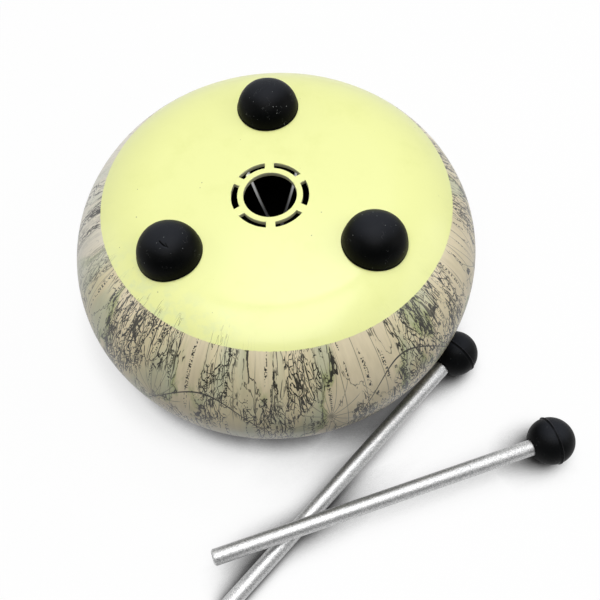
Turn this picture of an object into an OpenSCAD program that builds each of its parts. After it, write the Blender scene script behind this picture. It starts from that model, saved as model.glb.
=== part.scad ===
// Steel tongue drum, turned over on its tongue face, with a pair of mallets.
// Millimetres. Z is up, the origin is on the drum's axis at the floor.

/* [Body] */
// Outside diameter of the drum
body_d = 205; // [160:1:240]
// Height from tongue face to base, without the feet
body_h = 92; // [80:1:110]
// Thickness of the pressed steel sheet
wall = 2.7; // [1.5:0.1:3.2]

/* [Sound hole] */
// Diameter of the hole in the base
hole_d = 25.5; // [20:0.5:28]
// Steel left between the hole and the arc slots
arc_margin = 2.85; // [2:0.05:5]
// Width of the arc slots
arc_w = 3; // [2:0.1:4]
// Number of arc slots
arc_count = 6; // [4:1:8]
// Width of the webs between the arc slots
arc_web = 4.4; // [3:0.1:7]

/* [Tongues] */
// Number of tongues
tongue_count = 8; // [6:1:8]
// Distance from the drum's side in to the root of every tongue
root_inset = 18.5; // [17:0.5:24]
// Half the width of a tongue at its root
root_half_w = 15.5; // [12:0.1:16]
// Angle by which each side of a tongue widens towards its root
flare = 3.5; // [0:0.5:5]
// Distance from the axis to the tip of the longest tongue, the lowest note
tip_ring_r = 31; // [29:0.5:36]
// Length by which the shortest tongue, the highest note, falls short of the longest
length_spread = 10; // [6:0.5:16]
// Width of the slot that frees a tongue
slot_w = 1.9; // [1:0.1:2.2]
// Diameter of the round relief at each end of a slot
relief_d = 3.4; // [2:0.1:4]
// Turn of the tongue ring against the feet, in degrees
tongue_turn = 2; // [0:1:20]

/* [Feet] */
// Distance from the axis to the middle of a foot
foot_ring_r = 55; // [45:0.5:60]
// Radius of a foot's dome
foot_r = 14.8; // [10:0.1:17]
// Depth of the dome's centre below the base
foot_sink = 1.8; // [0:0.1:4]
// Thickness of the adhesive pad under a foot
pad_t = 0.4; // [0.3:0.1:1]
// Radius of the adhesive pad
pad_r = 13; // [8:0.5:14]

/* [Mallets] */
// Diameter of the rod
rod_d = 8; // [6:0.5:9]
// Distance from the head's centre to the rod's free end
rod_reach = 175; // [168:1:185]
// Chamfer at the rod's free end
rod_chamfer = 0.8; // [0.3:0.1:1.5]
// Diameter of the rubber head
head_d = 23.5; // [21:0.5:25]
// Height of the moulding ridge round the head
ridge_h = 0.7; // [0.3:0.1:1.2]
// Thickness of the moulding ridge at its foot
ridge_w = 1.6; // [0.8:0.1:2.5]
// Depth of the socket in the head, measured past its centre
socket_past = 3; // [1:0.5:5]
// Clearance between the rod and its socket, nothing on a press fit
socket_clearance = 0; // [0:0.01:0.05]

/* [Resting place of the mallets] */
// Place round the drum of the head that is laid against its side, in degrees
around_b = -29.4; // [-31:0.1:-28]
// Air between that head's ridge and the drum
rest_gap = 0.15; // [0.1:0.05:0.5]
// Direction in which its rod points, in degrees
heading_b = 224.9; // [224:0.1:226]
// Distance from that head to the head of the crossing mallet, along X
apart_x = 41.4; // [38:0.1:46]
// Distance from that head to the head of the crossing mallet, along Y
apart_y = -50; // [-54:0.1:-46]
// Direction in which the crossing rod points, in degrees
heading_a = 196.6; // [194:0.1:199]
// Air between the two rods where they cross
cross_gap = 0.3; // [0.2:0.1:1]

/* [Hidden] */
$fn = 96;

paper = [0.78, 0.73, 0.62];
lime = [0.95, 0.97, 0.62];
rubber = [0.07, 0.07, 0.08];
tape = [0.82, 0.82, 0.80];
metal = [0.80, 0.81, 0.82];

body_r = body_d / 2;
edge_r = body_h / 2;
flat_r = body_r - edge_r;
root_r = body_r - root_inset;
tongue_long = root_r - tip_ring_r;
hole_r = hole_d / 2;
arc_in = hole_r + arc_margin;
arc_out = arc_in + arc_w;
// how far a cutting tool runs past the sheet
over = wall;
// height up to which the tongue slots are cut, where the edge curves up
slot_top = edge_r / 2;
tongue_step = 360 / tongue_count;
// how far a tongue's sides start inside the circle of its tip
tip_lap = 0.1;
foot_step = 120;

rod_r = rod_d / 2;
head_r = head_d / 2;
ridge_r = head_r + ridge_h;
head_z = ridge_r;
// distance from the axis at which a head on the floor meets the rounded side
head_b_r = flat_r + sqrt(pow(edge_r + ridge_r + rest_gap, 2) - pow(edge_r - head_z, 2));
head_b_x = head_b_r * cos(around_b);
head_b_y = head_b_r * sin(around_b);
head_a_x = head_b_x + apart_x;
head_a_y = head_b_y + apart_y;
// the rod beneath leans from its head to its free end on the floor
tilt_b = asin((head_z - rod_r) / rod_reach);
turn_ab = heading_b - heading_a;
// distances over the floor from each head to the crossing
cross_a = (apart_y * cos(heading_b) - apart_x * sin(heading_b)) / sin(turn_ab);
cross_b = (apart_y * cos(heading_a) - apart_x * sin(heading_a)) / sin(turn_ab);
cross_z = head_z - cross_b * tan(tilt_b) + rod_d + cross_gap;
// the crossing rod rises from its head to lie over the other one
tilt_a = -atan((cross_z - head_z) / cross_a);

// rank of a tongue's note: low at the back, rising in turn on either side
function rank(k) = k < tongue_count / 2 ? 2 * k : 2 * (tongue_count - k) - 1;
function length_of(k) = tongue_long - length_spread * rank(k) / (tongue_count - 1);
// radius of a tongue's round tip, from its length and the line of its sides
function tip_r(len) = (root_half_w - len * tan(flare)) / (1 / cos(flare) - tan(flare));
function tip_x(len) = root_r - len + tip_r(len);

// outside of the closed drum, grown all over by a layer
module body_solid(layer = 0) {
    rotate_extrude()
    intersection() {
        union() {
            translate([flat_r, edge_r])
            circle(r = edge_r + layer);
            translate([0, -layer])
            square([flat_r, body_h + 2 * layer]);
        }
        translate([0, -layer])
        square([body_r + layer, body_h + 2 * layer]);
    }
}

// the sheet of one half of the drum, from the height z1 up by half the body
module half_sheet(z1) {
    rotate_extrude()
    intersection() {
        difference() {
            union() {
                translate([flat_r, edge_r])
                circle(r = edge_r);
                square([flat_r, body_h]);
            }
            translate([flat_r, edge_r])
            circle(r = edge_r - wall);
            translate([0, wall])
            square([flat_r, body_h - 2 * wall]);
        }
        translate([0, z1])
        square([body_r, edge_r]);
    }
}

// flat outline of a tongue, whose sides start just inside its round tip
module tongue_outline(len, grow) {
    r = tip_r(len) + grow;
    side_r = r - tip_lap;
    x = tip_x(len);
    side_x = x - side_r * sin(flare);
    side_y = side_r * cos(flare);
    root_y = side_y + (root_r - side_x) * tan(flare);
    translate([x, 0])
    circle(r = r);
    polygon([[side_x, side_y], [root_r, root_y], [root_r, -root_y], [side_x, -side_y]]);
}

// the U-shaped cut that frees a tongue
module tongue_slot(len) {
    mid = tip_r(len) + slot_w / 2 - tip_lap;
    mid_y = mid * cos(flare) + (root_r - tip_x(len) + mid * sin(flare)) * tan(flare);
    difference() {
        linear_extrude(slot_top)
        tongue_outline(len, slot_w);
        translate([0, 0, -over])
        linear_extrude(slot_top + 2 * over)
        tongue_outline(len, 0);
    }
    for (side = [-1, 1])
        translate([root_r, side * mid_y, 0])
        cylinder(d = relief_d, h = slot_top);
}

module tongue_shell() {
    color(paper)
    difference() {
        half_sheet(0);
        for (k = [0 : tongue_count - 1])
            rotate([0, 0, 90 + tongue_turn + (k + 0.5) * tongue_step])
            translate([0, 0, -over])
            tongue_slot(length_of(k));
    }
}

module arc_slots() {
    difference() {
        cylinder(r = arc_out, h = wall + 2 * over);
        translate([0, 0, -over])
        cylinder(r = arc_in, h = wall + 4 * over);
        for (k = [0 : arc_count - 1])
            rotate([0, 0, 90 + k * 360 / arc_count])
            translate([0, -arc_web / 2, -over])
            cube([arc_out + over, arc_web, wall + 4 * over]);
    }
}

module base_shell() {
    color(lime)
    difference() {
        half_sheet(edge_r);
        translate([0, 0, body_h - wall - over]) {
            cylinder(r = hole_r, h = wall + 2 * over);
            arc_slots();
        }
    }
}

module foot(k) {
    color(rubber)
    difference() {
        rotate([0, 0, 90 + k * foot_step])
        translate([foot_ring_r, 0, body_h - foot_sink])
        sphere(r = foot_r);
        body_solid(pad_t);
    }
}

// thin double-sided pad that follows the base under a foot
module pad(k) {
    color(tape)
    difference() {
        intersection() {
            rotate([0, 0, 90 + k * foot_step])
            translate([foot_ring_r, 0, edge_r])
            cylinder(r = pad_r, h = body_h);
            body_solid(pad_t);
        }
        body_solid();
    }
}

// sets a mallet down: its head's centre is at the origin, its rod along X
module set_down(x, y, heading, tilt) {
    translate([x, y, head_z])
    rotate([0, tilt, heading])
    children();
}

module rod() {
    color(metal)
    rotate([0, 90, 0])
    rotate_extrude()
    polygon([
        [0, -socket_past], [rod_r, -socket_past], [rod_r, rod_reach - rod_chamfer],
        [rod_r - rod_chamfer, rod_reach], [0, rod_reach]
    ]);
}

module head() {
    color(rubber)
    rotate([0, 90, 0])
    difference() {
        union() {
            sphere(r = head_r);
            rotate_extrude()
            polygon([[head_r - ridge_h, -ridge_w / 2], [ridge_r, 0], [head_r - ridge_h, ridge_w / 2]]);
        }
        translate([0, 0, -socket_past])
        cylinder(r = rod_r + socket_clearance, h = head_d);
    }
}

module foot_back() foot(0);
module foot_left() foot(1);
module foot_right() foot(2);
module pad_back() pad(0);
module pad_left() pad(1);
module pad_right() pad(2);
module mallet_a_rod() set_down(head_a_x, head_a_y, heading_a, tilt_a) rod();
module mallet_a_head() set_down(head_a_x, head_a_y, heading_a, tilt_a) head();
module mallet_b_rod() set_down(head_b_x, head_b_y, heading_b, tilt_b) rod();
module mallet_b_head() set_down(head_b_x, head_b_y, heading_b, tilt_b) head();

tongue_shell();
base_shell();
foot_back();
foot_left();
foot_right();
pad_back();
pad_left();
pad_right();
mallet_a_rod();
mallet_a_head();
mallet_b_rod();
mallet_b_head();
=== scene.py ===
# Looks of the steel tongue drum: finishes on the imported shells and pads, and
# finer surfaces for the base with its sound hole, the feet and the mallets.
import math

import bmesh
import bpy
import numpy as np
from mathutils import Matrix, Vector


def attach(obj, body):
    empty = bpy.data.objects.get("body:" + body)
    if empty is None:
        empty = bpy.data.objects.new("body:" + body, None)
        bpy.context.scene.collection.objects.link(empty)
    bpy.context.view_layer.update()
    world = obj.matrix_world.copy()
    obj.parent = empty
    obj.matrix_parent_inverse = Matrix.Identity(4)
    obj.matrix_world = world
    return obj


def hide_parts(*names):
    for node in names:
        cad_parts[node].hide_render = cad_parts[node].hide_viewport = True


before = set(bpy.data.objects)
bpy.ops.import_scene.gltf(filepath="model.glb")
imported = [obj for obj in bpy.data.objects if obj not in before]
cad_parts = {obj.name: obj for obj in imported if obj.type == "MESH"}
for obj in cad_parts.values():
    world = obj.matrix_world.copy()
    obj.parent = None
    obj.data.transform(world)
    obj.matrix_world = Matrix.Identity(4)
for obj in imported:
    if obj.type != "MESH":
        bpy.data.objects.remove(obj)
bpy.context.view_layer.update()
print("frame loaded:", ", ".join(sorted(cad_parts)))

mm = 0.001
fullTurn = 2 * math.pi


def quadsOfGrid(rows, cols, wrap):
    # corner numbers of every cell of a grid of points, counted row by row
    r = np.arange(rows - 1)[:, None] * cols
    c = np.arange(cols if wrap else cols - 1)[None, :]
    d = (c + 1) % cols
    return np.stack([r + c, r + d, r + cols + d, r + cols + c], -1).reshape(-1, 4)


def wayOfGrid(points, wrap):
    # distance walked along the rows and along the columns, as a UV map in metres
    rows, cols = points.shape[:2]
    down = np.zeros((rows, cols + 1))
    down[1:, :cols] = np.cumsum(np.linalg.norm(np.diff(points, axis=0), axis=2), axis=0)
    down[:, cols] = down[:, 0]
    ring = np.linalg.norm(np.diff(np.concatenate([points, points[:, :1]], 1), axis=1), axis=2)
    across = np.zeros((rows, cols + 1))
    across[:, 1:] = np.cumsum(ring.max(axis=0))[None, :]
    way = np.stack([down, across], -1)
    a, b = way[:-1, :-1], way[:-1, 1:]
    c, d = way[1:, 1:], way[1:, :-1]
    cells = np.stack([a, b, c, d], 2)
    return (cells if wrap else cells[:, :-1]).reshape(-1, 2)


def makePiece(name, grids, sharp=40):
    # joins grids of points (rows, cols, xyz in mm; wraps round or not) into one closed mesh
    corners, cells, ways, start = [], [], [], 0
    for points, wrap in grids:
        rows, cols = points.shape[:2]
        corners.append(points.reshape(-1, 3) * mm)
        cells.append(quadsOfGrid(rows, cols, wrap) + start)
        ways.append(wayOfGrid(points * mm, wrap))
        start += rows * cols
    mesh = bpy.data.meshes.new(name)
    mesh.from_pydata(np.concatenate(corners).tolist(), [], np.concatenate(cells).tolist())
    mesh.uv_layers.new(name="wayAlong").data.foreach_set("uv", np.concatenate(ways).ravel())
    soft = bmesh.new()
    soft.from_mesh(mesh)
    bmesh.ops.remove_doubles(soft, verts=soft.verts, dist=2e-7)
    bmesh.ops.recalc_face_normals(soft, faces=soft.faces)
    soft.to_mesh(mesh)
    soft.free()
    mesh.polygons.foreach_set("use_smooth", np.ones(len(mesh.polygons), bool))
    mesh.set_sharp_from_angle(angle=math.radians(sharp))
    piece = bpy.data.objects.new(name, mesh)
    bpy.context.scene.collection.objects.link(piece)
    return piece


def dress(piece, finish, body=None, stands=()):
    # gives a piece its material, its body and the nodes it stands for
    if piece.material_slots:
        for holder in piece.material_slots:
            holder.material = finish
    else:
        piece.data.materials.append(finish)
    if body:
        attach(piece, body)
    if stands:
        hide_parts(*stands)
    return piece


def quarter(steps):
    # sine and one-minus-cosine of a quarter turn, for a rounded edge
    turn = np.linspace(0, math.pi / 2, steps)
    return np.sin(turn), 1 - np.cos(turn)


def feed(tree, socket, value):
    # gives an input a value, or links another node's output to it
    if isinstance(value, bpy.types.NodeSocket):
        tree.links.new(value, socket)
    else:
        socket.default_value = value


def put(tree, kind, feeds=None, **looks):
    # one shader node; feeds gives its inputs values or other nodes' outputs
    node = tree.nodes.new("ShaderNode" + kind)
    for key, value in looks.items():
        setattr(node, key, value)
    for key, value in (feeds or {}).items():
        feed(tree, node.inputs[key], value)
    return node


def calc(tree, operation, *values, clamp=False):
    node = put(tree, "Math", dict(enumerate(values)), operation=operation, use_clamp=clamp)
    return node.outputs[0]


def plus(tree, first, second):
    return calc(tree, "ADD", first, second)


def minus(tree, first, second):
    return calc(tree, "SUBTRACT", first, second)


def times(tree, first, *others):
    for other in others:
        first = calc(tree, "MULTIPLY", first, other)
    return first


def strongest(tree, first, *others):
    for other in others:
        first = calc(tree, "MAXIMUM", first, other)
    return first


def vecCalc(tree, operation, *values, scale=None):
    node = put(tree, "VectorMath", dict(enumerate(values)), operation=operation)
    if scale is not None:
        feed(tree, node.inputs["Scale"], scale)
    single = operation in ("LENGTH", "DOT_PRODUCT", "DISTANCE")
    return node.outputs["Value" if single else "Vector"]


def inMm(tree, place):
    return vecCalc(tree, "SCALE", place, scale=1 / mm)


def rise(tree, value, low, high):
    # 0 up to low, 1 from high, smooth between them
    return put(tree, "MapRange", {"Value": value, "From Min": low, "From Max": high},
               interpolation_type="SMOOTHSTEP").outputs["Result"]


def fall(tree, value, low, high):
    # 1 up to low, 0 from high, smooth between them
    return put(tree, "MapRange", {"Value": value, "From Min": low, "From Max": high,
                                  "To Min": 1.0, "To Max": 0.0},
               interpolation_type="SMOOTHSTEP").outputs["Result"]


def line(tree, distance, half, soft=0.14):
    # a drawn line where a distance is less than half its width
    return fall(tree, calc(tree, "ABSOLUTE", distance), half, half + soft)


def mixed(tree, amount, first, second):
    return put(tree, "Mix", {0: amount, 6: first, 7: second}, data_type="RGBA").outputs[2]


def noise(tree, place, scale, detail=2.0, rough=0.5, out="Fac"):
    return put(tree, "TexNoise", {"Vector": place, "Scale": scale, "Detail": detail,
                                  "Roughness": rough}).outputs[out]


def split(tree, vector):
    return put(tree, "SeparateXYZ", {0: vector}).outputs


def joined(tree, x, y, z):
    return put(tree, "CombineXYZ", {0: x, 1: y, 2: z}).outputs[0]


def paint(red, green, blue):
    # a colour given as it looks on a screen, 0 to 255, made linear
    def linear(c):
        c /= 255
        return c / 12.92 if c <= 0.04045 else ((c + 0.055) / 1.055) ** 2.4
    return (linear(red), linear(green), linear(blue), 1.0)


def relief(tree, shader, height, strength, deep):
    # fine relief on a finish, deep in mm where its height is 1
    bump = put(tree, "Bump", {"Strength": strength, "Distance": deep * mm, "Height": height})
    tree.links.new(bump.outputs[0], shader.inputs["Normal"])


def newGroup(name, inputs, outputs):
    # a shader node group with named sockets, and its two ends
    tree = bpy.data.node_groups.new(name, "ShaderNodeTree")
    kinds = {"vector": "NodeSocketVector", "value": "NodeSocketFloat", "colour": "NodeSocketColor"}
    for label, kind, *value in inputs:
        socket = tree.interface.new_socket(label, in_out="INPUT", socket_type=kinds[kind])
        if value:
            socket.default_value = value[0]
    for label, kind in outputs:
        tree.interface.new_socket(label, in_out="OUTPUT", socket_type=kinds[kind])
    return tree, tree.nodes.new("NodeGroupInput").outputs, tree.nodes.new("NodeGroupOutput").inputs


def useGroup(tree, group, **feeds):
    node = tree.nodes.new("ShaderNodeGroup")
    node.node_tree = group
    for key, value in feeds.items():
        feed(tree, node.inputs[key], value)
    return node.outputs


def newFinish(name, **plain):
    # a material with one Principled BSDF; plain gives the sockets that are the same all over
    finish = bpy.data.materials.new(name)
    finish.use_nodes = True
    tree = finish.node_tree
    tree.nodes.clear()
    shader = tree.nodes.new("ShaderNodeBsdfPrincipled")
    out = tree.nodes.new("ShaderNodeOutputMaterial")
    tree.links.new(shader.outputs[0], out.inputs[0])
    for key, value in plain.items():
        shader.inputs[key.replace("_", " ")].default_value = value
    place = tree.nodes.new("ShaderNodeTexCoord").outputs["Object"]
    return finish, tree, shader, place


drum = {
    "radius": 102.5,        # outside of the drum
    "edgeRadius": 46.0,     # of the rounded side, half the height
    "sheet": 2.7,           # thickness of the pressed steel
    "softEdge": 0.15,       # rounding of the lacquered hole edges
    "holeRadius": 12.75,
    "slotInside": 15.6,     # radii between which the arc slots lie
    "slotOutside": 18.6,
    "slots": 6,
    "webHalf": 2.2,         # half the steel left between two slots
    "webColumns": 5,
    "slotColumns": 30,
    "topRows": (21, 25, 30, 36, 43, 50),         # radii of the rows out over the flat top
    "sideRows": 44,
    "nearEdge": 0.12,       # from an edge to the row beside it
}
drum["flat"] = drum["radius"] - drum["edgeRadius"]
drum["height"] = 2 * drum["edgeRadius"]
slotStep = fullTurn / drum["slots"]


def webEdge(r, opening):
    # half the angle that a web takes at radius r, where its wall is opened by so much
    return np.arcsin((drum["webHalf"] - drum["softEdge"] + opening) / r)


def columnAngles(r):
    # angles of all columns at radius r, gathered at the webs' edges
    e = drum["softEdge"]
    r = np.clip(np.atleast_1d(r), drum["slotInside"] - e, drum["slotOutside"] + e)[:, None]
    half = webEdge(r, 0)
    web = np.linspace(0, 1, drum["webColumns"] + 1)[None, :]
    gap = np.linspace(0, 1, drum["slotColumns"] + 1)[None, 1:-1]
    sector = np.concatenate([half * web, half + gap * (slotStep - 2 * half),
                             slotStep - half * web[:, ::-1][:, :-1]], 1)
    starts = math.pi / 2 + np.arange(drum["slots"]) * slotStep
    return (starts[:, None] + sector[:, None, :]).reshape(len(r), -1)


def aroundAxis(r, z, angles):
    # points at radii r and heights z, one row each, at the given angles
    r, z = np.asarray(r, float)[:, None], np.asarray(z, float)[:, None]
    return np.stack([r * np.cos(angles), r * np.sin(angles), z + 0 * angles], -1)


def baseSheet():
    # the upper half: a profile of radius and height turned round the axis, out over the flat
    # top, down the rounded side, across the sheet and back inside; the ring of slots is left
    # open in it and each opening gets a wall with rounded edges
    e, sheet, top, hole = drum["softEdge"], drum["sheet"], drum["height"], drum["holeRadius"]
    flat, edge, near = drum["flat"], drum["edgeRadius"], drum["nearEdge"]
    sine, cosine = quarter(5)
    inner, outer = drum["slotInside"] - e, drum["slotOutside"] + e
    turn = np.linspace(math.pi / 2, 0, drum["sideRows"])
    run = np.array([outer, outer + near, *drum["topRows"], flat - 0.5])
    bigR = np.concatenate([run, flat + edge * np.cos(turn)])
    bigZ = np.concatenate([0 * run + top, edge * (1 + np.sin(turn))])
    smallR = np.concatenate([run, flat + (edge - sheet) * np.cos(turn)])
    smallZ = np.concatenate([0 * run + top - sheet, edge + (edge - sheet) * np.sin(turn)])
    shellR, shellZ = np.concatenate([bigR, smallR[::-1]]), np.concatenate([bigZ, smallZ[::-1]])
    grids = [(aroundAxis(shellR, shellZ, columnAngles(shellR)), True)]

    openBy = np.concatenate([e * sine, e * sine[::-1]])   # how far a wall stands into its opening
    wallZ = np.concatenate([top - e * cosine, top - sheet + e * cosine[::-1]])
    margin = np.array([inner, inner - near, inner - 5 * near, hole + e + near])
    ringR = np.concatenate([margin, hole + e - openBy, margin[::-1]])
    ringZ = np.concatenate([0 * margin + top, wallZ, 0 * margin + top - sheet])
    grids.append((aroundAxis(ringR, ringZ, columnAngles(0 * ringR)), True))

    across = np.array([0, 0.05, 0.35, 0.65, 0.95, 1])     # along a web, from its inner end
    bandR = inner + across * (outer - inner)
    web = np.linspace(-1, 1, 2 * drum["webColumns"] + 1)[None, :] * webEdge(bandR, 0)[:, None]
    o = openBy[:, None]
    low, high = inner + o, outer - o
    gap = np.linspace(0, 1, drum["slotColumns"] + 1)[None, :]
    sideR = low + across[None, 1:-1] * (high - low)
    lowA = webEdge(low, o) + gap * (slotStep - 2 * webEdge(low, o))
    highA = webEdge(high, o) + gap * (slotStep - 2 * webEdge(high, o))
    sideA = webEdge(sideR, o)
    loopR = np.concatenate([low + 0 * gap, sideR, high + 0 * gap, sideR[:, ::-1]], 1)
    loopA = np.concatenate([lowA, slotStep - sideA, highA[:, ::-1], sideA[:, ::-1]], 1)
    for k in range(drum["slots"]):
        start = math.pi / 2 + k * slotStep
        for z in (top, top - sheet):
            grids.append((aroundAxis(bandR, 0 * bandR + z, start + web), False))
        wall = np.stack([loopR * np.cos(start + loopA), loopR * np.sin(start + loopA),
                         wallZ[:, None] + 0 * loopR], -1)
        grids.append((wall, True))
    return makePiece("base_sheet", grids)


drop = {
    "ring": 16.1,           # from the drum's axis, with its direction and height
    "around": 130.7,
    "height": 91.2,
    "radii": (1.05, 0.75, 0.7),                  # along the wall, out from it and upright
    "rows": 25,
    "columns": 36,
}


def lacquerDrop():
    # a drop of lacquer dried on the inner wall of one arc slot: a ball stretched along the wall
    # and fuller below, with polar angle down and azimuth round
    u = np.linspace(0, math.pi, drop["rows"])[:, None]
    v = np.linspace(0, fullTurn, drop["columns"], endpoint=False)[None, :]
    along, out, high = drop["radii"]
    along, out = along * np.sin(u) * np.cos(v), out * np.sin(u) * np.sin(v)
    high = high * np.cos(u) * (1.15 - 0.25 * np.cos(u)) + 0 * v
    turn = math.radians(drop["around"])
    r = drop["ring"] + out
    return makePiece("lacquer_drop", [(np.stack([
        r * math.cos(turn) - along * math.sin(turn),
        r * math.sin(turn) + along * math.cos(turn), drop["height"] + high], -1), True)])


foot = {
    "ring": 55.0,           # from the drum's axis
    "forward": 1.6,         # towards the front
    "radius": 15.3,         # of the dome, level and upright
    "tall": 14.75,
    "full": 2.3,            # a dome's roundness: 2 for a ball, more for fuller shoulders
    "sink": 1.8,            # of the dome's centre below the base
    "padThick": 0.4,
    "lip": 0.22,            # moulding lip round the lower edge, its height and its fullest side
    "lipHigh": 0.55,
    "lipTurn": 2.4,
    "rows": 90,
    "columns": 200,
    "underRows": 12,
    # direction from the axis, and how far to the right a foot was stuck on beside its place
    "places": {"back": (90, 0.0), "left": (210, 1.0), "right": (330, -0.3)},
    # short cuts: azimuth and polar angle of the middle, half length, lean and depth in mm
    "nicks": {"left": [(4.483, 0.263, 2.4, -0.746, 0.6), (4.9, 0.3, 1.1, -1.1, 0.25)]},
    "nickHalf": 0.26,       # half the width of a cut, and how much it bends
    "nickBend": 0.06,
}


def baseHeight(r, layer):
    # height of the base at a distance r from the axis, grown by a layer
    out = np.maximum(r - drum["flat"], 0)
    return drum["edgeRadius"] + np.sqrt((drum["edgeRadius"] + layer) ** 2 - out ** 2)


def domeFoot(which):
    # a dome, fuller at its shoulders than a ball: polar angle down to where it meets the base,
    # azimuth round; a lip swells its lowest millimetre, and the underside runs from the rim to
    # the middle along the base
    place, right = math.radians(foot["places"][which][0]), foot["places"][which][1]
    centre = np.array([foot["ring"] * math.cos(place) + right,
                       foot["ring"] * math.sin(place) - foot["forward"],
                       drum["height"] - foot["sink"]])
    v = np.linspace(0, fullTurn, foot["columns"], endpoint=False)[None, :]
    upright, full = foot["tall"] / foot["radius"], foot["full"]

    def spot(u, radius):
        fuller = (np.abs(np.sin(u)) ** full + np.abs(np.cos(u)) ** full) ** (-1 / full)
        return centre + (radius * fuller)[..., None] * np.stack(
            [np.sin(u) * np.cos(v), np.sin(u) * np.sin(v), upright * np.cos(u) + 0 * v], -1)

    low, high = np.full(v.shape, 0.8), np.full(v.shape, 1.8)
    for _ in range(40):                                   # halving finds the rim's polar angle
        mid = (low + high) / 2
        p = spot(mid, foot["radius"] + 0 * mid)
        above = p[..., 2] > baseHeight(np.hypot(p[..., 0], p[..., 1]), foot["padThick"])
        low, high = np.where(above, mid, low), np.where(above, high, mid)
    part = 1 - (1 - np.linspace(0, 1, foot["rows"])[:, None]) ** 1.25
    u = part * low
    height = foot["radius"] * (low - u)                   # above the rim, along the dome
    swell = np.exp(-(height / foot["lipHigh"]) ** 2) * (1 + 0.5 * np.sin(v - foot["lipTurn"]))
    uneven = (0.05 * np.sin(3 * v + 1) + 0.04 * np.sin(5 * v + 4 * u)) * np.sin(u)
    grown = foot["radius"] + foot["lip"] * swell + uneven
    for turn, polar, length, lean, depth in foot["nicks"].get(which, []):
        x = foot["radius"] * (u * np.cos(v) - polar * math.cos(turn))
        y = foot["radius"] * (u * np.sin(v) - polar * math.sin(turn))
        along = x * math.cos(lean) + y * math.sin(lean)
        aside = y * math.cos(lean) - x * math.sin(lean) - foot["nickBend"] * along ** 2
        grown = grown - depth * np.exp(-(aside / foot["nickHalf"]) ** 2 - (along / length) ** 4)
    dome = spot(u, grown)
    rim = dome[-1]
    share = np.linspace(0, 1, foot["underRows"])[:, None, None]
    under = rim[None] * (1 - share) + centre * share
    under[..., 2] = baseHeight(np.hypot(under[..., 0], under[..., 1]), foot["padThick"])
    under[0] = rim
    return makePiece(f"dome_{which}", [(dome, True), (under, True)], sharp=50)


mallet = {
    "rodRadius": 4.0,
    "reach": 175.0,         # from the head's centre to the rod's free end
    "chamfer": 0.8,
    "inside": 3.0,          # the rod runs so far past the head's centre
    "headRadius": 11.75,
    "ridge": 0.7,           # height of the moulding ridge
    "ridgeHalf": 0.42,
    "mouthSoft": 0.5,       # rounding where the rod enters
    "sawSoft": 0.12,        # rounding of the rod's sawn end
    "groove": 0.09,         # depth of the groove beside the ridge
    "tabs": (0.6, 3.9),     # turns round the head at which the mould bled, with height and width
    "tabHigh": 0.3,
    "tabHalf": 0.07,
    "rodColumns": 96,
    "headColumns": 160,
    # middle of each head on the floor, direction of its rod and its lean below level
    "a": {"x": 132.49, "y": -101.32, "heading": 196.6, "lean": -0.929},
    "b": {"x": 91.09, "y": -51.32, "heading": 224.9, "lean": 2.768},
}
headHeight = mallet["headRadius"] + mallet["ridge"]


def turned(which, along, r, columns):
    # a profile (distances along the rod, radii) carried round the axis of a mallet's rod
    lay = mallet[which]
    heading, lean = math.radians(lay["heading"]), math.radians(lay["lean"])
    centre = np.array([lay["x"], lay["y"], headHeight])
    axis = np.array([math.cos(lean) * math.cos(heading), math.cos(lean) * math.sin(heading),
                     -math.sin(lean)])
    side = np.array([-math.sin(heading), math.cos(heading), 0.0])
    up = np.cross(axis, side)
    v = np.linspace(0, fullTurn, columns, endpoint=False)[None, :]
    r = r if np.ndim(r) == 2 else np.asarray(r)[:, None] + 0 * v
    along = np.asarray(along)[:, None]
    return (centre + along[..., None] * axis
            + (r * np.cos(v))[..., None] * side + (r * np.sin(v))[..., None] * up)


def malletRod(which):
    # straight bar with a chamfer at its free end, and a faintly dished sawn face
    radius, chamfer, end = mallet["rodRadius"], mallet["chamfer"], mallet["reach"]
    soft, face = mallet["sawSoft"], radius - chamfer
    along = np.concatenate([[-mallet["inside"]] * 2, np.linspace(12, end - chamfer - soft, 40),
                            [end - chamfer, end - chamfer + soft, end - soft * 0.7, end,
                             end - 0.03, end - 0.05, end - 0.06]])
    r = np.concatenate([[0], np.full(41, radius),
                        [radius - 0.02, radius - soft - 0.02, face + soft * 0.7, face - soft,
                         face * 0.6, face * 0.3, 0]])
    bar = turned(which, along, r, mallet["rodColumns"])
    return makePiece(f"rod_{which}", [(bar, True)], sharp=38)


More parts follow.
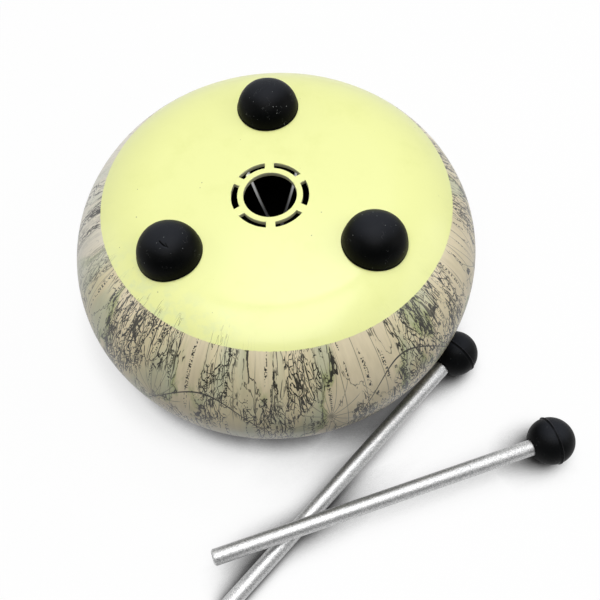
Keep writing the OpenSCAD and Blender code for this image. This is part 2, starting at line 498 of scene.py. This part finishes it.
def malletHead(which):
    # a ball turned round the rod's axis, with a thin moulding ridge round its middle that
    # varies in height, a rounded mouth for the rod and the socket behind it
    radius, rod, soft = mallet["headRadius"], mallet["rodRadius"], mallet["mouthSoft"]
    sine, cosine = quarter(5)
    mouth = math.acos((rod + soft) / radius)
    polar = np.concatenate([np.linspace(-math.pi / 2, -0.12, 44), np.linspace(-0.11, 0.11, 31),
                            np.linspace(0.12, mouth, 40)])
    v = np.linspace(0, fullTurn, mallet["headColumns"], endpoint=False)[None, :]
    bump = np.exp(-(radius * polar / mallet["ridgeHalf"]) ** 2)[:, None]
    height = 0.66 + 0.12 * np.sin(2 * v + 0.8) + 0.08 * np.sin(7 * v) + 0.06 * np.sin(17 * v + 1)
    for turn in mallet["tabs"]:
        off = np.mod(v - turn + math.pi, fullTurn) - math.pi
        height = height + mallet["tabHigh"] * np.exp(-(off / mallet["tabHalf"]) ** 2)
    grown = radius + mallet["ridge"] * np.minimum(height, 1) * bump
    grown = grown - mallet["groove"] * np.exp(-((radius * polar - 1.0) / 0.35) ** 2)[:, None]
    ballA = radius * np.sin(polar)
    ballR = grown * np.cos(polar)[:, None] + 0 * v
    lipA = ballA[-1] - soft * cosine[1:] - 0.1 * sine[1:]
    lipR = rod + soft * (1 - sine[1:])
    along = np.concatenate([ballA, lipA, [-mallet["inside"]] * 2])
    r = np.concatenate([ballR, (lipR[:, None] + 0 * v), rod + 0 * v, 0 * v])
    ball = turned(which, along, r, mallet["headColumns"])
    return makePiece(f"head_{which}", [(ball, True)], sharp=60)


pull = {
    "laid": 0.9,            # mm of film to a mm of the drum's side
    "thins": 0.0072,        # by which it gets less above the equator, per mm
    "comb": 0.16,           # how far a pattern on Comb is drawn out: its height to the real one
}


def makeFilmPlane():
    # lays the printed film on the drum as it is laid on the real one: flat on the tongue
    # face and pulled up the side, so that it is drawn out lengthwise near its upper edge.
    # Film is its plane in mm, Comb a place drawn out along the pull, Up the height along
    # the side over the equator, Around the angle about the axis
    tree, given, out = newGroup("filmPlane", [("Position", "vector")], [
        ("Film", "vector"), ("Comb", "vector"), ("Up", "value"), ("Around", "value")])
    place = inMm(tree, given["Position"])
    x, y, z = split(tree, place)
    flat = joined(tree, x, y, 0.0)
    r = vecCalc(tree, "LENGTH", flat)
    tilt = calc(tree, "ARCTAN2", minus(tree, z, drum["edgeRadius"]),
                calc(tree, "MAXIMUM", minus(tree, r, drum["flat"]), 0.001))
    up = times(tree, tilt, drum["edgeRadius"])
    quarterWay = drum["edgeRadius"] * math.pi / 2
    over = calc(tree, "MAXIMUM", up, 0.0)
    # film radius: the flat face, then the film on the side, less and less above the equator
    pulled = times(tree, plus(tree, up, quarterWay), pull["laid"])
    pulled = minus(tree, pulled, times(tree, over, over, pull["thins"]))
    filmR = plus(tree, calc(tree, "MINIMUM", r, drum["flat"]), pulled)
    ray = vecCalc(tree, "NORMALIZE", flat)
    tree.links.new(vecCalc(tree, "SCALE", ray, scale=filmR), out["Film"])
    dx, dy, _ = split(tree, vecCalc(tree, "SCALE", ray, scale=drum["radius"]))
    tree.links.new(joined(tree, dx, dy, times(tree, up, pull["comb"])), out["Comb"])
    tree.links.new(up, out["Up"])
    tree.links.new(calc(tree, "ARCTAN2", y, x), out["Around"])
    return tree


def makeSheetDepth():
    # how deep a point lies in the sheet, in mm from the outside, and whether it is painted
    tree, given, out = newGroup("sheetDepth", [("Position", "vector"), ("Coat", "value", 0.15)], [
        ("Depth", "value"), ("Painted", "value"), ("Inside", "value")])
    place = inMm(tree, given["Position"])
    x, y, z = split(tree, place)
    r = vecCalc(tree, "LENGTH", joined(tree, x, y, 0.0))
    aside = strongest(tree, minus(tree, r, drum["flat"]), 0.0)
    far = vecCalc(tree, "LENGTH", joined(tree, aside, minus(tree, z, drum["edgeRadius"]), 0.0))
    depth = minus(tree, drum["edgeRadius"], far)
    tree.links.new(depth, out["Depth"])
    ragged = noise(tree, place, 0.9, 3.0)
    edge = plus(tree, depth, times(tree, minus(tree, ragged, 0.5), 0.3))
    limit = minus(tree, edge, given["Coat"])
    tree.links.new(fall(tree, limit, -0.06, 0.06), out["Painted"])
    tree.links.new(rise(tree, depth, drum["sheet"] - 0.25, drum["sheet"] - 0.05), out["Inside"])
    return tree


chart = {
    "shoreScale": 0.02,     # of the invented lands, per mm of film
    "crowdScale": 0.026,    # of the crowded country
    # pen strokes: lean off the pull, closeness, half width in mm and how far a seed moves them
    "strokes": ((0.0, 0.4, 0.27, 0.0), (0.5, 0.3, 0.22, 37.0), (-0.6, 0.26, 0.2, 71.0)),
    "rings": ((-34, -92, 41), (62, -84, 36), (-118, 22, 30), (112, 40, 33), (8, 96, 50)),
    "stars": ((30, -126, 16), (-74, -104, 16), (126, -30, 16), (-134, -20, 12), (60, 118, 16)),
    "quiet": (2.92, (0.8, 0.95)),   # where round the axis the print is faded and nearly bare
    "meridians": 30,
    "columns": 32,          # rows of small marks that run up the side
    "wander": (5.0, 14.0),  # how far a stroke strays across and along the pull, in mm
    "starReach": (18.0, 22.0),
    "ink": paint(30, 29, 26),
    "beige": paint(230, 218, 180),
    "rose": paint(231, 218, 186),
    "sage": paint(198, 202, 172),
    "moss": paint(160, 172, 110),
    "stain": paint(170, 158, 122),
    "faded": paint(232, 229, 220),
}


def penStroke(tree, turn, ahead, close, half, detail=1.0):
    # a stroke of even width along the pull: where noise passes its middle between two places
    # half a width to either side
    ends = []
    for side in (-1, 1):
        beside = plus(tree, turn, times(tree, half, side / drum["radius"]))
        place = joined(tree, times(tree, calc(tree, "COSINE", beside), drum["radius"]),
                       times(tree, calc(tree, "SINE", beside), drum["radius"]), ahead)
        ends.append(minus(tree, noise(tree, place, close, detail), 0.5))
    return calc(tree, "LESS_THAN", times(tree, *ends), 0.0)


def fadedSide(tree, around):
    middle, limits = chart["quiet"]
    return rise(tree, calc(tree, "COSINE", minus(tree, around, middle)), *limits)


def drawShores(tree, film):
    # bold shores and thin borders: where broken noise passes its middle, heavier and
    # lighter by turns; also how far to the land side of the shore a point is
    land = minus(tree, noise(tree, film, chart["shoreScale"], 7.0, 0.6), 0.5)
    half = times(tree, rise(tree, noise(tree, film, 0.12, 2.0), 0.36, 0.66), 0.009)
    shore = fall(tree, minus(tree, calc(tree, "ABSOLUTE", land), half), -0.001, 0.003)
    beyond = vecCalc(tree, "ADD", film, (310.0, 90.0, 0.0))
    border = minus(tree, noise(tree, beyond, 0.03, 5.0, 0.55), 0.5)
    return strongest(tree, shore, times(tree, line(tree, border, 0.0022, 0.003), 0.75)), land


def drawCountry(tree, film, comb, up, around, land):
    # crowded country: pen strokes that lean either way off the pull and cross each other, and
    # hatching on the water side of the shores
    wander = vecCalc(tree, "SUBTRACT", noise(tree, comb, 0.22, 2.0, 0.55, "Color"), (0.5, 0.5, 0.5))
    aside, ahead, _ = split(tree, wander)
    across, along = chart["wander"]
    aside = plus(tree, around, times(tree, aside, across / drum["radius"]))
    ahead = plus(tree, up, times(tree, ahead, along))
    press = plus(tree, noise(tree, comb, 0.35, 2.0), 0.5)
    drawn = []
    for lean, close, half, seed in chart["strokes"]:
        turn = plus(tree, aside, times(tree, ahead, lean / drum["radius"]))
        along = plus(tree, times(tree, ahead, 0.2), seed)
        drawn.append(penStroke(tree, turn, along, close, times(tree, press, half)))
    crowd = noise(tree, film, chart["crowdScale"], 1.0)
    gaps = rise(tree, noise(tree, film, 0.3, 2.0), 0.36, 0.44)
    thick = times(tree, strongest(tree, *drawn), gaps, rise(tree, crowd, 0.51, 0.54))
    beside = times(tree, rise(tree, land, -0.06, -0.035), fall(tree, land, -0.004, 0.0))
    return strongest(tree, thick, times(tree, drawn[0], beside, 0.85))


def drawNet(tree, film, around):
    # meridians that follow the pull, large rings and star points
    count = chart["meridians"]
    aside = calc(tree, "SINE", times(tree, around, count))
    aside = times(tree, aside, drum["radius"] / count)
    kept = rise(tree, noise(tree, film, 0.05, 1.0), 0.38, 0.46)
    net = times(tree, line(tree, aside, 0.1, 0.16), kept, 0.62)
    for cx, cy, radius in chart["rings"]:
        away = minus(tree, vecCalc(tree, "DISTANCE", film, (cx, cy, 0.0)), radius)
        net = strongest(tree, net, line(tree, away, 0.16, 0.16))
    for cx, cy, count in chart["stars"]:
        dx, dy, _ = split(tree, vecCalc(tree, "SUBTRACT", film, (cx, cy, 0.0)))
        away = vecCalc(tree, "DISTANCE", film, (cx, cy, 0.0))
        turn = calc(tree, "SINE", times(tree, calc(tree, "ARCTAN2", dy, dx), count / 2))
        aside = times(tree, calc(tree, "ABSOLUTE", turn), calc(tree, "DIVIDE", away, count / 2))
        ray = times(tree, line(tree, aside, 0.08, 0.18), fall(tree, away, *chart["starReach"]), 0.6)
        net = strongest(tree, net, ray)
    return net


def drawMarks(tree, comb, up, around):
    # columns of small marks beside the meridians, with no letters in them
    column = calc(tree, "ABSOLUTE", calc(tree, "SINE", times(tree, around, chart["columns"])))
    inRow = rise(tree, column, 0.955, 0.975)
    broken = rise(tree, noise(tree, comb, 0.34, 1.0), 0.48, 0.52)
    place = joined(tree, times(tree, around, drum["radius"]), times(tree, up, 1.2), 0.0)
    marks = rise(tree, noise(tree, place, 0.85, 1.0), 0.5, 0.54)
    return times(tree, inRow, broken, marks)


def tintPaper(tree, film, comb, land):
    # beige and rose paper, sage water, moss along some shores, stains and pull marks
    tone = noise(tree, film, 0.02, 2.0)
    paper = mixed(tree, rise(tree, tone, 0.42, 0.62), chart["beige"], chart["rose"])
    wash = noise(tree, film, 0.035, 2.0)
    water = times(tree, fall(tree, land, -0.02, 0.01), rise(tree, wash, 0.42, 0.6), 0.85)
    paper = mixed(tree, water, paper, chart["sage"])
    rim = fall(tree, calc(tree, "ABSOLUTE", land), 0.004, 0.045)
    paper = mixed(tree, times(tree, rim, rise(tree, wash, 0.5, 0.6), 0.8), paper, chart["moss"])
    stain = rise(tree, noise(tree, film, 0.06, 5.0, 0.65), 0.35, 0.75)
    paper = mixed(tree, times(tree, stain, 0.3), paper, chart["stain"])
    drawn = rise(tree, noise(tree, comb, 0.7, 3.0), 0.3, 0.75)
    return mixed(tree, times(tree, drawn, 0.14), paper, chart["stain"])


def makeOldMap():
    # an invented old chart in ink on tinted paper
    tree, given, out = newGroup("oldMap", [
        ("Film", "vector"), ("Comb", "vector"), ("Up", "value"), ("Around", "value")], [
        ("Colour", "colour")])
    film, comb, up, around = (given[k] for k in ("Film", "Comb", "Up", "Around"))
    shore, land = drawShores(tree, film)
    ink = strongest(tree, shore, drawCountry(tree, film, comb, up, around, land),
                    drawNet(tree, film, around), drawMarks(tree, comb, up, around))
    worn = rise(tree, noise(tree, film, 0.5, 3.0), 0.2, 0.45)
    ink = calc(tree, "MULTIPLY", ink, plus(tree, times(tree, worn, 0.25), 0.75), clamp=True)
    faded = fadedSide(tree, around)
    patchy = fall(tree, noise(tree, comb, 0.07, 2.0), 0.5, 0.62)
    ink = times(tree, ink, minus(tree, 1.0, times(tree, faded, patchy, 0.85)))
    paper = mixed(tree, times(tree, faded, 0.6), tintPaper(tree, film, comb, land), chart["faded"])
    tree.links.new(mixed(tree, times(tree, ink, 0.97), paper, chart["ink"]), out["Colour"])
    return tree


def makeSprayed():
    # orange peel of sprayed lacquer, with dust grains caught in it
    tree, given, out = newGroup("sprayed", [
        ("Position", "vector"), ("Peel", "value", 0.5), ("Dust", "value", 0.5)], [
        ("Height", "value"), ("Specks", "value")])
    place = inMm(tree, given["Position"])
    peel = noise(tree, place, 0.55, 2.0)
    wave = noise(tree, place, 0.06, 1.0)
    spots = put(tree, "TexVoronoi", {"Vector": place, "Scale": 0.16}).outputs
    size = times(tree, split(tree, spots["Color"])[0], 0.07)
    speck = calc(tree, "LESS_THAN", spots["Distance"], times(tree, size, given["Dust"]))
    high = plus(tree, times(tree, peel, given["Peel"]), times(tree, wave, 2.0))
    tree.links.new(plus(tree, high, times(tree, speck, 0.8)), out["Height"])
    tree.links.new(speck, out["Specks"])
    return tree


def makeMoulded():
    # skin of moulded rubber: fine grain, faint flow marks, pale dust and thin scuffs
    tree, given, out = newGroup("moulded", [("Position", "vector"), ("Dust", "value", 0.5)], [
        ("Height", "value"), ("Dusty", "value"), ("Haze", "value"), ("Scuffs", "value")])
    place = inMm(tree, given["Position"])
    grain = noise(tree, place, 3.2, 3.0, 0.6)
    flow = noise(tree, place, 0.25, 3.0)
    spots = put(tree, "TexVoronoi", {"Vector": place, "Scale": 0.62}).outputs
    chance = split(tree, spots["Color"])[0]
    size = times(tree, rise(tree, chance, 0.72, 1.0), 0.2)
    fleck = calc(tree, "LESS_THAN", spots["Distance"], times(tree, size, given["Dust"]))
    tree.links.new(plus(tree, grain, times(tree, flow, 1.5)), out["Height"])
    tree.links.new(fleck, out["Dusty"])
    tree.links.new(rise(tree, noise(tree, place, 0.5, 4.0, 0.7), 0.5, 0.8), out["Haze"])
    scuff = line(tree, minus(tree, noise(tree, place, 0.11, 3.0, 0.6), 0.52), 0.0015, 0.003)
    here = rise(tree, noise(tree, place, 0.2, 2.0), 0.52, 0.6)
    tree.links.new(times(tree, scuff, here, rise(tree, grain, 0.4, 0.6)), out["Scuffs"])
    return tree


filmPlane = makeFilmPlane()
sheetDepth = makeSheetDepth()
oldMap = makeOldMap()
sprayed = makeSprayed()
moulded = makeMoulded()
print("shared effects made")

lacquer = {
    "lime": paint(241, 245, 165),
    "limeShade": paint(231, 236, 150),
    "grit": paint(168, 172, 120),
    "bled": paint(84, 88, 60),
    "mottle": paint(228, 236, 176),
    "bleedAround": 3.98,    # where round the axis the ink bled most
    "edge": paint(228, 228, 190),
    "deepEdge": paint(196, 194, 162),
    "inside": paint(10, 10, 10),
    "dropThin": paint(240, 243, 196),
    "dropThick": paint(250, 250, 232),
    "boundX": 2.54,         # the print ends on a circle a little off the axis
    "boundY": 6.44,
    "boundR": 85.5,
    "bleedReach": -17.0,    # how far the ink bled past that circle, in mm
    "coat": 0.15,           # its thickness in mm
    "clearLow": 0.1,        # clear coat near the floor, and what it gains on top
    "clearGain": 0.26,
    "clearRise": (5.0, 45.0),                    # mm up the side over the equator
}


def limeOver(tree, place, film, specks, printed):
    # the lime base coat inside its boundary circle, mottled near it, with ink hairs bled onto
    # it beside the print
    point = inMm(tree, place)
    x, y, _ = split(tree, point)
    away = vecCalc(tree, "LENGTH", joined(tree, minus(tree, x, lacquer["boundX"]),
                                          minus(tree, y, lacquer["boundY"]), 0.0))
    ragged = times(tree, minus(tree, noise(tree, film["Comb"], 0.5, 4.0), 0.5), 0.5)
    past = minus(tree, plus(tree, away, ragged), lacquer["boundR"])
    smudge = rise(tree, noise(tree, point, 0.05, 5.0, 0.65), 0.45, 0.8)
    lime = mixed(tree, times(tree, smudge, 0.5), lacquer["lime"], lacquer["limeShade"])
    lime = mixed(tree, specks, lime, lacquer["grit"])
    here = calc(tree, "COSINE", minus(tree, film["Around"], lacquer["bleedAround"]))
    here = plus(tree, times(tree, rise(tree, here, 0.8, 0.98), 0.94), 0.06)
    mottle = rise(tree, noise(tree, point, 0.13, 5.0, 0.65), 0.42, 0.62)
    mottle = times(tree, mottle, rise(tree, past, -24.0, -2.0), here, 0.75)
    lime = mixed(tree, mottle, lime, lacquer["mottle"])
    hair = penStroke(tree, film["Around"], times(tree, film["Up"], pull["comb"]), 0.6, 0.1, 2.0)
    clump = rise(tree, noise(tree, film["Comb"], 0.12, 2.0), 0.46, 0.6)
    reach = times(tree, noise(tree, film["Comb"], 0.5, 2.0), clump, lacquer["bleedReach"])
    hair = times(tree, hair, rise(tree, minus(tree, past, reach), 0.0, 5.0), here, 0.8)
    lime = mixed(tree, hair, lime, lacquer["bled"])
    return mixed(tree, rise(tree, past, -0.12, 0.12), lime, printed)


def shellFinish(name, limeTop):
    # lacquered shell: the print, the lime base over it on the upper half, bare edge and inside
    finish, tree, shader, place = newFinish(name, Coat_Roughness=0.16, Specular_IOR_Level=0.36)
    film = useGroup(tree, filmPlane, Position=place)
    sheet = useGroup(tree, sheetDepth, Position=place, Coat=lacquer["coat"])
    drawn = useGroup(tree, oldMap, Film=film["Film"], Comb=film["Comb"], Up=film["Up"],
                     Around=film["Around"])
    spray = useGroup(tree, sprayed, Position=place, Peel=0.5, Dust=0.8)
    colour = drawn["Colour"]
    if limeTop:
        colour = limeOver(tree, place, film, spray["Specks"], colour)
    bare = mixed(tree, rise(tree, sheet["Depth"], 0.2, 1.3), lacquer["edge"], lacquer["deepEdge"])
    bare = mixed(tree, sheet["Inside"], bare, lacquer["inside"])
    colour = mixed(tree, sheet["Painted"], bare, colour)
    tree.links.new(colour, shader.inputs["Base Color"])
    rough = minus(tree, 0.66, times(tree, sheet["Painted"], 0.3))
    tree.links.new(rough, shader.inputs["Roughness"])
    fuller = times(tree, rise(tree, film["Up"], *lacquer["clearRise"]), lacquer["clearGain"])
    clear = times(tree, sheet["Painted"], plus(tree, fuller, lacquer["clearLow"]))
    tree.links.new(clear, shader.inputs["Coat Weight"])
    relief(tree, shader, spray["Height"], 0.12, 0.1)
    return finish


def dropFinish(name):
    # dried lacquer, paler where it ran thick
    finish, tree, shader, place = newFinish(name, Roughness=0.25, Coat_Weight=0.4)
    spray = useGroup(tree, sprayed, Position=place, Peel=0.6, Dust=0.0)
    thick = noise(tree, inMm(tree, place), 0.9, 2.0)
    tone = mixed(tree, rise(tree, thick, 0.35, 0.65), lacquer["dropThick"], lacquer["dropThin"])
    tree.links.new(tone, shader.inputs["Base Color"])
    relief(tree, shader, spray["Height"], 0.2, 0.1)
    return finish


rubber = {
    "foot": paint(3, 4, 4),
    "head": paint(13, 14, 15),
    "hazy": paint(17, 19, 21),
    # paler tone of the painted highlight on what faces up and back
    "paintedSheen": paint(41, 43, 48),
    "dust": paint(96, 98, 98),
    "sheenFacing": (0.0, 0.32, 0.947),              # the way that the side with the painted highlight faces: up and a little back
}


def rubberFinish(name, colour, dust, grain):
    # matt black rubber with dust flecks and scuffs, and a painted highlight: paler on what faces up
    # and a little back
    finish, tree, shader, place = newFinish(name, Specular_IOR_Level=0.05)
    skin = useGroup(tree, moulded, Position=place, Dust=dust)
    way = put(tree, "TexCoord").outputs["Normal"]
    facing = vecCalc(tree, "DOT_PRODUCT", way, rubber["sheenFacing"])
    tone = mixed(tree, times(tree, skin["Haze"], 0.35), colour, rubber["hazy"])
    # painted highlight: the side that faces up and back is made paler, standing in for the soft
    # highlight of the light from behind
    tone = mixed(tree, times(tree, rise(tree, facing, 0.62, 1.06), 0.95), tone, rubber["paintedSheen"])
    tone = mixed(tree, times(tree, skin["Scuffs"], 0.6), tone, rubber["dust"])
    tone = mixed(tree, skin["Dusty"], tone, rubber["dust"])
    tree.links.new(tone, shader.inputs["Base Color"])
    rough = plus(tree, times(tree, skin["Haze"], 0.14), 0.42)
    tree.links.new(rough, shader.inputs["Roughness"])
    relief(tree, shader, skin["Height"], grain, 0.12)
    return finish


bareMetal = {
    "dark": paint(166, 167, 168),
    "pale": paint(220, 220, 219),
    "drawn": paint(130, 131, 132),
    "pit": paint(104, 105, 106),
}


def rodFinish(name):
    # mill-finish aluminium: draw lines along the rod, pits and a speckle of rough spots
    finish, tree, shader, place = newFinish(name, Metallic=1.0)
    way = tree.nodes.new("ShaderNodeUVMap")
    way.uv_map = "wayAlong"
    along, across, _ = split(tree, inMm(tree, way.outputs[0]))
    stretched = joined(tree, times(tree, along, 0.12), times(tree, across, 4.0), 0.0)
    lines = noise(tree, stretched, 1.0, 3.0)
    point = inMm(tree, place)
    grit = noise(tree, point, 1.7, 3.0, 0.7)
    worn = noise(tree, point, 0.35, 3.0)
    tone = mixed(tree, rise(tree, grit, 0.36, 0.64), bareMetal["dark"], bareMetal["pale"])
    tone = mixed(tree, times(tree, rise(tree, lines, 0.55, 0.7), 0.2), tone, bareMetal["drawn"])
    pits = rise(tree, noise(tree, point, 1.2, 3.0, 0.7), 0.6, 0.66)
    tone = mixed(tree, times(tree, pits, 0.55), tone, bareMetal["pit"])
    tree.links.new(tone, shader.inputs["Base Color"])
    rough = plus(tree, times(tree, grit, 0.16), times(tree, worn, 0.1))
    tree.links.new(plus(tree, rough, 0.35), shader.inputs["Roughness"])
    high = plus(tree, grit, times(tree, lines, 0.4))
    relief(tree, shader, high, 0.2, 0.1)
    return finish


tape = {"foam": paint(224, 224, 218), "cell": paint(190, 190, 182)}


def padFinish(name):
    # white foam tape: open cells on its cut edge
    finish, tree, shader, place = newFinish(name, Roughness=0.9)
    point = inMm(tree, place)
    cells = put(tree, "TexVoronoi", {"Vector": point, "Scale": 4.0}).outputs["Distance"]
    tone = mixed(tree, rise(tree, cells, 0.2, 0.7), tape["foam"], tape["cell"])
    tree.links.new(tone, shader.inputs["Base Color"])
    relief(tree, shader, cells, 0.4, 0.05)
    return finish


printLacquer = shellFinish("printLacquer", False)
limeLacquer = shellFinish("limeLacquer", True)
driedDrop = dropFinish("driedDrop")
footRubber = rubberFinish("footRubber", rubber["foot"], 0.9, 0.35)
headRubber = rubberFinish("headRubber", rubber["head"], 0.5, 0.4)
rodMetal = rodFinish("rodMetal")
padTape = padFinish("padTape")
print("finishes made")

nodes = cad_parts
dress(nodes["tongue_shell"], printLacquer)
for name in foot["places"]:
    dress(nodes[f"pad_{name}"], padTape)
dress(baseSheet(), limeLacquer, "drum", ["base_shell"])
dress(lacquerDrop(), driedDrop, "drum")
for name in foot["places"]:
    dress(domeFoot(name), footRubber, "drum", [f"foot_{name}"])
for which in "ab":
    body = f"mallet_{which}"
    dress(malletRod(which), rodMetal, body, [f"{body}_rod"])
    dress(malletHead(which), headRubber, body, [f"{body}_head"])
print("pieces made")

studio = {
    "cameraPlace": (17.98, -229.98, 414.47),     # mm
    "cameraAim": (11.02, -24.27, 30.0),
    "cameraRoll": -4.57,                         # degrees
    "lens": 49.84,
    # light of the sky near the floor and overhead, and the heights between which it rises
    "skyLow": 0.04,
    "skyHigh": 0.5,
    "skyRise": (0.3, 0.95),
    # a lamp's power in watts, its width and height and its place in metres
    "lamps": {
        "overhead": (7.4, (0.8, 0.8), (0.0, -0.16, 1.22)),
        "side": (2.8, (0.9, 0.7), (0.98, 0.0, 0.58)),
        "farSide": (1.1, (0.7, 0.5), (-0.98, 0.15, 0.45)),
        "window": (1.5, (0.34, 0.24), (0.03, 0.45, 1.05)),
    },
    # a dark card in front, seen in reflections only: half its width, its distance and height
    "card": (2.0, 0.85, 1.3),
    "cardGlow": 0.28,
    # shade of the floor in corners: how far it looks round in mm, which way it leans, between
    # which openness its own light rises to full, and the share of the light that takes part
    "cornerShade": (
        (20.0, (0.2, 0.02, 0.98), (0.42, 0.86), 1.0),
        (55.0, (0, 0, 1), (0.43, 0.55), 0.22),
        (36.0, (0.6, -0.12, 0.79), (0.45, 0.8), 0.22),
    ),
    # light of the ground beneath the drum, which the tongue slots show: in the middle, and
    # further out in front and behind, with the distances in mm between which it rises and fades
    "underDrum": (0.04, 0.1, 0.46),
    "underRise": (52.0, 84.0),
    "underFade": (92.0, 102.0),
    "floorHalf": 4.0,
    "floorLow": 0.00005,    # how far the floor lies beneath the object
    "floorGlow": 0.91,      # share of its own light
    "floorWhite": (0.97, 0.97, 0.97, 1),
    "floorBounce": (0.06, 0.06, 0.06, 1),        # what the object gets back from the floor
}
white = (1, 1, 1, 1)


def makeCamera():
    place, aim = Vector(studio["cameraPlace"]) * mm, Vector(studio["cameraAim"]) * mm
    ahead = (aim - place).normalized()
    right = ahead.cross(Vector((0, 0, 1))).normalized()
    up = right.cross(ahead)
    rolled = Matrix.Rotation(math.radians(studio["cameraRoll"]), 3, -ahead)
    axes = Matrix((rolled @ right, rolled @ up, -ahead)).transposed()
    data = bpy.data.cameras.new("camera")
    data.sensor_fit, data.sensor_width, data.lens = "HORIZONTAL", 36.0, studio["lens"]
    data.clip_start, data.clip_end = 0.01, 50.0
    camera = bpy.data.objects.new("camera", data)
    camera.matrix_world = Matrix.Translation(place) @ axes.to_4x4()
    bpy.context.scene.collection.objects.link(camera)
    bpy.context.scene.camera = camera


def areaLight(name, power, size, place, aim=(0, 0, 0.04)):
    data = bpy.data.lights.new(name, "AREA")
    data.energy, data.shape, data.size, data.size_y = power, "RECTANGLE", size[0], size[1]
    light = bpy.data.objects.new(name, data)
    light.location = place
    light.rotation_mode = "QUATERNION"
    light.rotation_quaternion = (Vector(place) - Vector(aim)).to_track_quat("Z", "Y")
    bpy.context.scene.collection.objects.link(light)


def stageSheet(name, half, near, far):
    # a flat sheet of the studio with an empty material, between two edges given by y and z
    mesh = bpy.data.meshes.new(name)
    corners = [(-half, *near), (half, *near), (half, *far), (-half, *far)]
    mesh.from_pydata(corners, [], [(0, 1, 2, 3)])
    sheet = bpy.data.objects.new(name, mesh)
    bpy.context.scene.collection.objects.link(sheet)
    finish = bpy.data.materials.new(name)
    finish.use_nodes = True
    finish.node_tree.nodes.clear()
    mesh.materials.append(finish)
    return sheet, finish.node_tree


def seenDirectly(tree):
    # 1 for rays from the camera, off a glossy surface or through a clear one
    seen, kinds = put(tree, "LightPath").outputs, ("Camera", "Glossy", "Transmission")
    return strongest(tree, *[seen[f"Is {kind} Ray"] for kind in kinds])


def underLight(tree):
    # light on the ground beneath the drum, which comes in round its foot, most from behind
    inner, front, behind = studio["underDrum"]
    place = put(tree, "TexCoord").outputs["Object"]
    away = vecCalc(tree, "LENGTH", place)
    back = rise(tree, calc(tree, "DIVIDE", split(tree, place)[1], away), -0.4, 1.0)
    outer = calc(tree, "MULTIPLY_ADD", back, behind - front, front - inner)
    outwards = rise(tree, away, *[mm * r for r in studio["underRise"]])
    light = calc(tree, "MULTIPLY_ADD", outwards, outer, inner)
    return times(tree, light, fall(tree, away, *[mm * r for r in studio["underFade"]]))


def makeFloor():
    # white ground: mostly its own light, which fades in corners, and partly lit, so that it
    # keeps the shadow
    half, low = studio["floorHalf"], -studio["floorLow"]
    _, tree = stageSheet("floor", half, (-half, low), (half, low))
    direct = seenDirectly(tree)
    tone = mixed(tree, direct, studio["floorBounce"], studio["floorWhite"])
    matt = put(tree, "BsdfDiffuse", {"Color": tone})
    shades = []
    for reach, lean, limits, share in studio["cornerShade"]:
        looks = {"Distance": reach * mm, "Normal": joined(tree, *lean)}
        clear = put(tree, "AmbientOcclusion", looks, samples=16).outputs["AO"]
        shades.append(plus(tree, times(tree, rise(tree, clear, *limits), share), 1 - share))
    shade = strongest(tree, times(tree, *shades), underLight(tree))
    glow = put(tree, "Emission", {"Color": white, "Strength": shade})
    both = put(tree, "MixShader", {0: times(tree, direct, studio["floorGlow"]),
                                   1: matt.outputs[0], 2: glow.outputs[0]})
    put(tree, "OutputMaterial", {0: both.outputs[0]})


def makeCard():
    half, away, high = studio["card"]
    card, tree = stageSheet("darkCard", half, (-away, 0), (-away, high))
    dark = put(tree, "Emission", {"Color": white, "Strength": studio["cardGlow"]})
    put(tree, "OutputMaterial", {0: dark.outputs[0]})
    card.visible_camera = card.visible_diffuse = card.visible_shadow = False


def makeSky():
    world = bpy.data.worlds.new("studio")
    world.use_nodes = True
    tree = world.node_tree
    tree.nodes.clear()
    aloft = split(tree, put(tree, "TexCoord").outputs["Generated"])[2]
    low, high = studio["skyLow"], studio["skyHigh"]
    strength = plus(tree, times(tree, rise(tree, aloft, *studio["skyRise"]), high - low), low)
    plain = put(tree, "Background", {"Color": white, "Strength": strength})
    shown = put(tree, "Background", {"Color": white, "Strength": 1.0})
    both = put(tree, "MixShader", {0: seenDirectly(tree), 1: plain.outputs[0], 2: shown.outputs[0]})
    put(tree, "OutputWorld", {0: both.outputs[0]})
    bpy.context.scene.world = world


makeCamera()
makeFloor()
makeCard()
makeSky()
for name, lamp in studio["lamps"].items():
    areaLight(name, *lamp)
bpy.context.scene.view_settings.view_transform = "Standard"
print("studio made")
